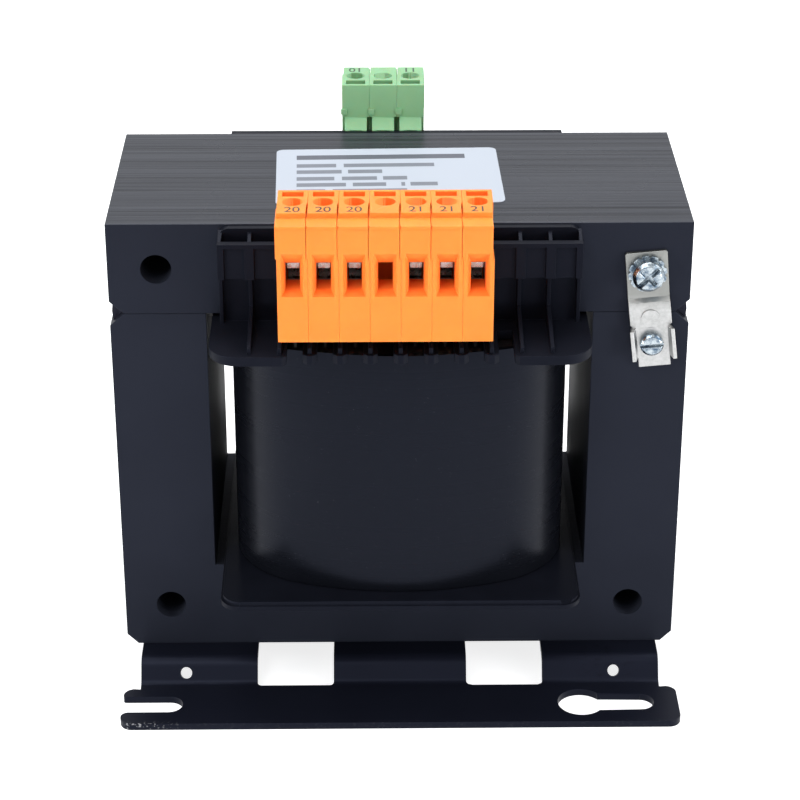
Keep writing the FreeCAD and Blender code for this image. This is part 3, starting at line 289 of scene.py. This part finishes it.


# Plated metal: spangles of two colours; above a given level the plate is painted darker as a
# painted dark reflection
def plating(name, colour, tint, rough, scale, above=None):
    tree, place = started(name)
    spangle = place.noise(scale, 4.0, 0.7)
    fine = place.noise(5200, 2.0)
    tone = spangle.band(0.36, 0.62).mix(tint, colour)
    if above:
        # Painted reflection: above this level the plate gets a darker grey
        painted_dark_reflection = place.part(Z).band(above - 2.5 * MM, above + 1.5 * MM)
        tone = painted_dark_reflection.mix(tone, (0.235, 0.24, 0.23))
    return tree.set({"Base Color": tone, "Metallic": 1.0,
                     "Roughness": spangle.spread(rough - 0.08, rough + 0.10),
                     "Normal": (spangle * 0.5 + fine * 0.5).bump(0.40, 0.08 * MM)})


# Wires: enamel with dark impregnation between the strands
def windings(name, colour, dark):
    tree, place = started(name)
    strands = place.noise(900, 2.0)
    return tree.set({"Base Color": strands.band(0.45, 0.75).mix(dark, colour),
                     "Roughness": strands.spread(0.35, 0.55),
                     "Specular IOR Level": 0.3, "Normal": strands.bump(0.4, 0.2 * MM)})


# Weld beads: ripples across the run of the bead
def weld(name, colour):
    tree, place = started(name)
    wobble = place.noise(500, 2.0)
    ripple = (place.part(Y) * 5200 + wobble * 3.0).math("SINE")
    return tree.set({"Base Color": ripple.band(-1, 1).mix(*shades(colour, 0.35)),
                     "Roughness": wobble.spread(0.30, 0.45),
                     "Specular IOR Level": 0.15, "Specular Tint": COOL,
                     "Normal": (ripple * 0.5 + wobble).bump(0.7, 0.3 * MM)})


# Rating label: white film with plain grey bars where the print would be, in millimetres
LABEL_TURN = math.radians(-1.3)
TITLE_BAR = (12.2, 15.4, -27, 18.4)
ROW_HEIGHT = 2.6
# Each row gives its lower edge, then the left and right ends of its bars
ROWS = ((6.4, ((-27, -16.4), (-14.4, 9.9))),
        (1.9, ((-27, -15), (-13.3, -4.2))),
        (-3.0, ((-27, -17), (-15, -5.7), (-4.1, 2.3))),
        (-7.4, ((-27, -14), (-12.2, -3.4), (0.6, 1.6), (3, 10.2))),
        (-11.8, ((-27, -19.5), (-17.5, 2))))


def label_print(name, film_colour, ink):
    tree, place = started(name)
    flat = place.turned(LABEL_TURN)

    def bar(low, high, left, right):
        return (flat.part(Y).within(low * MM, high * MM)
                * flat.part(X).within(left * MM, right * MM))

    bars = [bar(low, low + ROW_HEIGHT, *ends) for low, row in ROWS for ends in row]
    marks = sum(bars[1:], bars[0]) * 0.68 + bar(*TITLE_BAR) * 0.86
    grain = place.noise(700, 2.0)
    paper = grain.spread().mix(*shades(film_colour, 0.012))
    return tree.set({"Base Color": marks.mix(paper, ink),
                     "Roughness": grain.spread(0.38, 0.46),
                     "Specular IOR Level": 0.3, "Normal": grain.bump(0.03, 0.03 * MM)})


MATERIALS = {
    "core": varnish("core_varnish", (0.0078, 0.0088, 0.0128), gloss=0.10, rough=0.40,
                    surface=sheet_edges),
    "former": moulding("former_moulding", (0.0058, 0.0065, 0.0102), rough=0.42, gloss=0.065,
                       uneven=0.10, tint=COOL),
    "copper": windings("varnished_windings", (0.010, 0.006, 0.006), dark=(0.005, 0.004, 0.005)),
    "insulation": moulding("varnished_paper", (0.030, 0.022, 0.016), rough=0.7, gloss=0.2,
                           uneven=0.1),
    "wrap": film("wrap_film", (0.0030, 0.0034, 0.0050)),
    "terminal_orange": moulding("orange_moulding", (1.0, 0.260, 0.045), rough=0.38, gloss=0.12,
                                uneven=0.03, clear=0.45),
    "terminal_green": moulding("green_moulding", (0.224, 0.425, 0.226), rough=0.38, gloss=0.16,
                               uneven=0.03, clear=0.35),
    "plated_steel": plating("zinc_plate", (0.46, 0.46, 0.46), tint=(0.36, 0.365, 0.36),
                            rough=0.38, scale=900, above=EARTH_SCREW.z - TAB_JOGGLE),
    "blue_zinc": plating("blue_zinc", (0.43, 0.48, 0.51), tint=(0.06, 0.10, 0.15),
                         rough=0.20, scale=620),
    "tinned_brass": plating("tinned_bar", (0.55, 0.54, 0.53), tint=(0.28, 0.19, 0.15),
                            rough=0.26, scale=420),
    "lead_wire": windings("lead_wire_varnish", (0.012, 0.007, 0.007), dark=(0.006, 0.005, 0.005)),
    "bracket": varnish("bracket_varnish", (0.0058, 0.0066, 0.0115), gloss=0.11, rough=0.36,
                       surface=worn_paint),
    "label": label_print("label_film", (0.400, 0.437, 0.492), ink=(0.028, 0.030, 0.046)),
    "weld": weld("weld_ripple", (0.010, 0.010, 0.015)),
    "ink": moulding("number_ink", (0.090, 0.055, 0.035), rough=0.5, gloss=0.2, uneven=0.15),
    "green_ink": moulding("number_ink_green", (0.050, 0.085, 0.055), rough=0.5, gloss=0.2,
                          uneven=0.15),
}
SLOTS = {entry["node"]: entry["material_slot"] for entry in frame["record"]["subparts"]}
FINISH = dict(SLOTS, joint_weld_beads="weld", bracket_weld_beads="weld", earth_screw="blue_zinc",
              earth_clamp_screw="blue_zinc", earth_lock_washer="blue_zinc")
for name, node in NODES.items():
    node.data.materials.clear()
    node.data.materials.append(MATERIALS[FINISH[name]])


# A CAD node's mesh, copied and merged, for dressing
def copy_of(name, merged=0.002 * MM, flat=math.radians(0.6)):
    work = bmesh.new()
    work.from_mesh(NODES[name].data)
    bmesh.ops.remove_doubles(work, verts=work.verts, dist=merged)
    bmesh.ops.dissolve_limit(work, angle_limit=flat, verts=work.verts, edges=work.edges)
    return work


# The chosen edges are rounded in two steps
def rounded(work, chosen, width):
    bmesh.ops.bevel(work, geom=chosen, offset=width, offset_type="OFFSET", segments=2,
                    profile=0.5, affect="EDGES", clamp_overlap=False, material=-1)


# Edges that are long and sharp enough are rounded as on the real piece
def soften(work, width, shortest, corner=28):
    rounded(work, [edge for edge in work.edges if edge.is_manifold
                   and edge.calc_length() > shortest
                   and edge.calc_face_angle() > math.radians(corner)], width)


# A new piece that rides on the fixed body
def joined(label, mesh):
    made = bpy.data.objects.new(label, mesh)
    bpy.context.collection.objects.link(made)
    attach(made, "root")
    return made


# The dressed mesh becomes a piece that stands for its CAD node
def add_piece(name, work, ending="_dressed", sharp=40, even=True):
    for face in work.faces:
        face.smooth = True
    mesh = bpy.data.meshes.new(name + ending)
    work.to_mesh(mesh)
    work.free()
    mesh.set_sharp_from_angle(angle=math.radians(sharp))
    mesh.materials.append(MATERIALS[FINISH[name]])
    made = joined(name + ending, mesh)
    if even:
        made.modifiers.new("even_shading", "WEIGHTED_NORMAL").keep_sharp = True
    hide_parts(name)


# Width of the rounding and shortest edge rounded are in millimetres
def dressed(name, width, shortest, change=None):
    work = copy_of(name)
    if change:
        change(work)
    soften(work, width * MM, shortest * MM)
    add_piece(name, work)


# Stacks, former, brackets and nut only get rounded edges
for name, width, shortest in (("core_e_laminations", 0.22, 3.0),
                              ("core_i_laminations", 0.22, 3.0),
                              ("coil_former", 0.14, 0.95),
                              ("front_foot_bracket", 0.32, 0.9),
                              ("rear_foot_bracket", 0.32, 0.9),
                              ("earth_nut", 0.25, 2.0)):
    dressed(name, width, shortest)


# Housings: facets of their upright holes run into each other, and neighbours meet in the row
def closed_up(work, low=math.radians(10), high=math.radians(24), width=0.15 * MM,
              shortest=2 * MM, upright=0.99, widened=0.006):
    def rise(edge):
        return abs(edge.verts[0].co.z - edge.verts[1].co.z)

    rounded(work, [edge for edge in work.edges if edge.is_manifold
                   and edge.calc_length() > shortest
                   and rise(edge) > upright * edge.calc_length()
                   and low < edge.calc_face_angle() < high], width)
    middle = sum(vert.co.x for vert in work.verts) / len(work.verts)
    for vert in work.verts:
        vert.co.x += (vert.co.x - middle) * widened


for row, count in (("secondary", 7), ("primary", 3)):
    for number in range(1, count + 1):
        dressed("%s_terminal_%d" % (row, number), 0.13, 1.2, closed_up)


# Earth tab: it leans sideways towards its lower end, and its ears flare outwards
def flared(work, lean=0.035, lean_from=9 * MM, flare=0.28):
    down = Vector((math.sin(TAB_TURN), 0, -math.cos(TAB_TURN)))
    side = Vector((math.cos(TAB_TURN), 0, math.sin(TAB_TURN)))
    for vert in work.verts:
        away = vert.co - EARTH_SCREW
        proud = -away.y - TAB_FRONT
        low = away.dot(down)
        vert.co += side * max(0.0, low - lean_from) * lean
        if proud > SKIN / 2 and EARS_TOP < low < EARS_FOOT:
            vert.co += side * math.copysign(proud * flare, away.dot(side))


dressed("earth_tab", 0.14, 0.9, flared)


# The wound coil draws in below the comb, as far as its outside lies clear of the core
def drawn_in(name, cuts=(3, 6, 10, 15, 22, 32), most=1.9 * MM, height=32 * MM,
             clear=12 * MM, full=6 * MM):
    work = copy_of(name)
    for depth in cuts:
        bmesh.ops.bisect_plane(work, geom=work.verts[:] + work.edges[:] + work.faces[:],
                               plane_co=(0, 0, COIL_TOP - depth * MM), plane_no=(0, 0, 1))
    for vert in work.verts:
        reach = abs(vert.co.y) - CORE_FACE
        if reach > clear:
            share = max(0.0, 1 - (COIL_TOP - vert.co.z) / height) ** 2
            vert.co.y -= math.copysign(most * share * min(1, (reach - clear) / full), vert.co.y)
    add_piece(name, work, sharp=50, even=False)


for name in ("outer_wrap", "secondary_winding"):
    drawn_in(name)


# Lock washer: teeth around its rim with gaps between them, each tooth twisted forward
def toothed(name, teeth=12, tooth=0.66, gap_reach=0.90, twist=0.12 * MM, inside=4.6 * MM):
    work = copy_of(name)

    def away(vert):
        return vert.co.x - EARTH_SCREW.x, vert.co.z - EARTH_SCREW.z

    rim = [edge for edge in work.edges
           if all(math.hypot(*away(vert)) > inside for vert in edge.verts)
           and abs(edge.verts[0].co.y - edge.verts[1].co.y) < SKIN]
    bmesh.ops.subdivide_edges(work, edges=rim, cuts=3)
    for vert in work.verts:
        across, up = away(vert)
        if math.hypot(across, up) > inside:
            turn = math.atan2(up, across) * teeth / math.tau % 1
            if turn > tooth:
                vert.co.x = EARTH_SCREW.x + across * gap_reach
                vert.co.z = EARTH_SCREW.z + up * gap_reach
            else:
                vert.co.y -= twist * turn / tooth
    add_piece(name, work, "_teeth", sharp=20, even=False)


toothed("earth_lock_washer")

# Screw heads with rounded crowns
for name in ("earth_screw", "earth_clamp_screw"):
    work = copy_of(name)
    soften(work, 0.18 * MM, 0.3 * MM, corner=25)
    add_piece(name, work, sharp=32)

# Plain numbers printed on the housings, a hair proud of their tops
NUMBER_HEIGHT = 4.7 * MM
NUMBER_PROUD = 0.006 * MM
NUMBER_WEIGHT = 0.05 * MM
NUMBER_NARROWED = 0.86
NUMBER_REACH = CORE_FACE + 19.7 * MM
REAR_TOP = HOUSING_TOP - 0.35 * MM


def print_number(label, digits, spot, turn, finish):
    curve = bpy.data.curves.new(label, "FONT")
    curve.body = digits
    curve.size = NUMBER_HEIGHT
    curve.align_x = "CENTER"
    curve.align_y = "CENTER"
    curve.extrude = NUMBER_PROUD
    curve.offset = NUMBER_WEIGHT
    holder = bpy.data.objects.new(label + "_curve", curve)
    mesh = bpy.data.meshes.new_from_object(holder)
    bpy.data.objects.remove(holder)
    mesh.transform(Matrix.Translation(spot) @ Matrix.Rotation(turn, 4, "Z")
                   @ Matrix.Diagonal((NUMBER_NARROWED, 1, 1, 1)))
    mesh.name = label
    mesh.materials.clear()
    mesh.materials.append(MATERIALS[finish])
    joined(label, mesh)


for bay, digits in ((1, "20"), (2, "20"), (3, "20"), (5, "21"), (6, "21"), (7, "21")):
    print_number("front_number_%d" % bay, digits,
                 Vector(((bay - 4.5) * PITCH, -NUMBER_REACH, HOUSING_TOP)),
                 0, "ink")
for bay, digits in ((1, "11"), (3, "10")):
    print_number("rear_number_%d" % bay, digits,
                 Vector(((1.5 - bay) * PITCH, NUMBER_REACH, REAR_TOP)),
                 math.pi, "green_ink")

# Pale floor: it looks white and keeps the object's soft shadow
floor_mesh = bpy.data.meshes.new("floor")
work = bmesh.new()
bmesh.ops.create_grid(work, x_segments=1, y_segments=1, size=3)
work.to_mesh(floor_mesh)
work.free()
floor = bpy.data.objects.new("floor", floor_mesh)
bpy.context.collection.objects.link(floor)
tree, place = started("floor_paper")
floor_mesh.materials.append(tree.set({
    "Base Color": place.noise(2.0).mix((0.60, 0.60, 0.60), (0.62, 0.62, 0.62)),
    "Roughness": 0.9, "Specular IOR Level": 0.0, "Emission Strength": 1.0,
    "Emission Color": tree.seen().mix((0.0, 0.0, 0.0), (0.80, 0.80, 0.80))}))

# Backdrop: white to look at, a dim cool light for the object
tree = Tree(bpy.data.worlds.new("studio"), "Background")
bpy.context.scene.world = tree.set({
    "Color": tree.seen().mix((0.37, 0.39, 0.43), (1.0, 1.0, 1.0)), "Strength": 1.0})

# Lamps: place, height that they aim at, size in metres and power in watts
for name, spot, aim, size, power in (
        ("key", (-0.45, -0.75, 1.25), 0.07, 0.7, 8.5),
        ("fill", (0.9, -0.6, 0.7), 0.07, 0.8, 3.5),
        ("top", (0, 0.35, 1.3), 0.1, 0.9, 17.0),
        ("left_card", (-0.60, -0.42, 0.10), 0.07, 0.30, 3.2),
        ("right_card", (0.60, -0.42, 0.10), 0.07, 0.30, 3.2)):
    light = bpy.data.lights.new(name, "AREA")
    light.energy = power
    light.size = size
    lamp = bpy.data.objects.new(name, light)
    lamp.location = spot
    away = Vector((0, 0, aim)) - Vector(spot)
    lamp.rotation_euler = away.to_track_quat("-Z", "Y").to_euler()
    bpy.context.collection.objects.link(lamp)

bpy.context.scene.view_settings.view_transform = "Standard"
